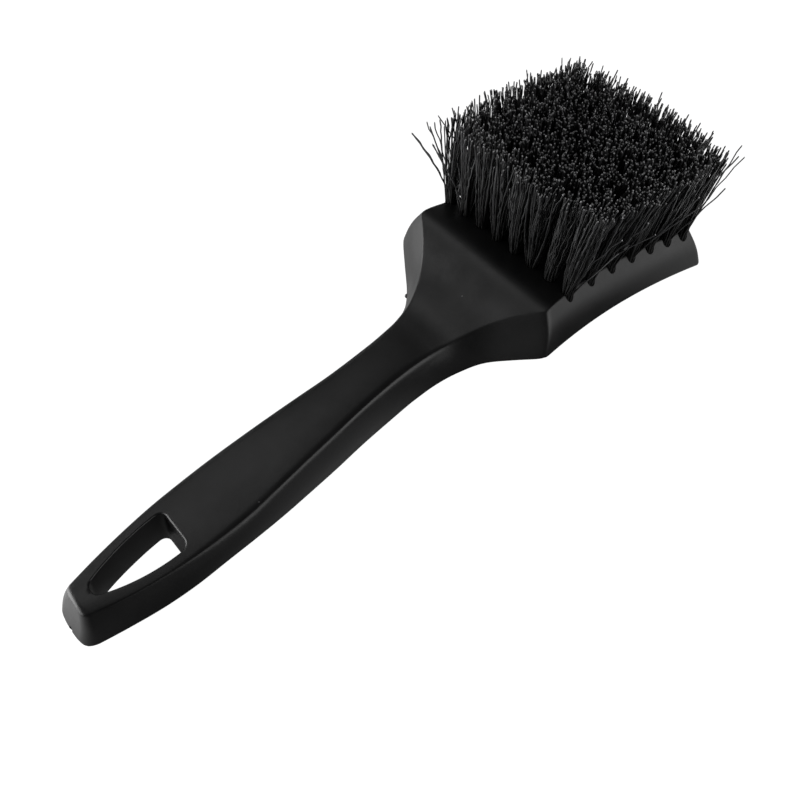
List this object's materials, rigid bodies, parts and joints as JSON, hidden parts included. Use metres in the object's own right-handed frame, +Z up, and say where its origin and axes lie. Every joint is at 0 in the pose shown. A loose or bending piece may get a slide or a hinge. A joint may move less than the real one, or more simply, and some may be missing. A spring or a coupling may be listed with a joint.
{
  "type": "wheel brush",
  "caption": "Short-handled wheel and tyre scrub brush: one-piece black plastic handle and flared head, dense block of stiff black bristle tufts, triangular hanging eye.",
  "frame": {"origin": "centre of the bounding box's bottom, on the surface that the brush lies on, back down", "axes": "+X along the brush from the butt of the handle to the tip of the head, +Z up, the side the bristles point to; the brush is symmetric left and right of the XZ plane"},
  "size_m": [0.2738, 0.0806, 0.065],
  "materials": {
    "handle_plastic": "satin moulded",
    "bristle": "extruded filament, slight sheen",
    "anchor_wire": "flat drawn wire"
  },
  "bodies": {
    "root": {"handle": "handle_plastic", "tuft_r1_c1": "bristle", "tuft_r1_c2": "bristle", "tuft_r1_c3": "bristle", "tuft_r1_c4": "bristle", "tuft_r1_c5": "bristle", "tuft_r1_c6": "bristle", "tuft_r1_c7": "bristle", "tuft_r2_c1": "bristle", "tuft_r2_c2": "bristle", "tuft_r2_c3": "bristle", "tuft_r2_c4": "bristle", "tuft_r2_c5": "bristle", "tuft_r2_c6": "bristle", "tuft_r2_c7": "bristle", "tuft_r3_c1": "bristle", "tuft_r3_c2": "bristle", "tuft_r3_c3": "bristle", "tuft_r3_c4": "bristle", "tuft_r3_c5": "bristle", "tuft_r3_c6": "bristle", "tuft_r3_c7": "bristle", "tuft_r4_c1": "bristle", "tuft_r4_c2": "bristle", "tuft_r4_c3": "bristle", "tuft_r4_c4": "bristle", "tuft_r4_c5": "bristle", "tuft_r4_c6": "bristle", "tuft_r4_c7": "bristle", "tuft_r5_c1": "bristle", "tuft_r5_c2": "bristle", "tuft_r5_c3": "bristle", "tuft_r5_c4": "bristle", "tuft_r5_c5": "bristle", "tuft_r5_c6": "bristle", "tuft_r5_c7": "bristle", "tuft_r6_c1": "bristle", "tuft_r6_c2": "bristle", "tuft_r6_c3": "bristle", "tuft_r6_c4": "bristle", "tuft_r6_c5": "bristle", "tuft_r6_c6": "bristle", "tuft_r6_c7": "bristle", "tuft_r7_c1": "bristle", "tuft_r7_c2": "bristle", "tuft_r7_c3": "bristle", "tuft_r7_c4": "bristle", "tuft_r7_c5": "bristle", "tuft_r7_c6": "bristle", "tuft_r7_c7": "bristle", "tuft_r8_c1": "bristle", "tuft_r8_c2": "bristle", "tuft_r8_c3": "bristle", "tuft_r8_c4": "bristle", "tuft_r8_c5": "bristle", "tuft_r8_c6": "bristle", "tuft_r8_c7": "bristle", "anchors": "anchor_wire"}
  },
  "joints": []
}
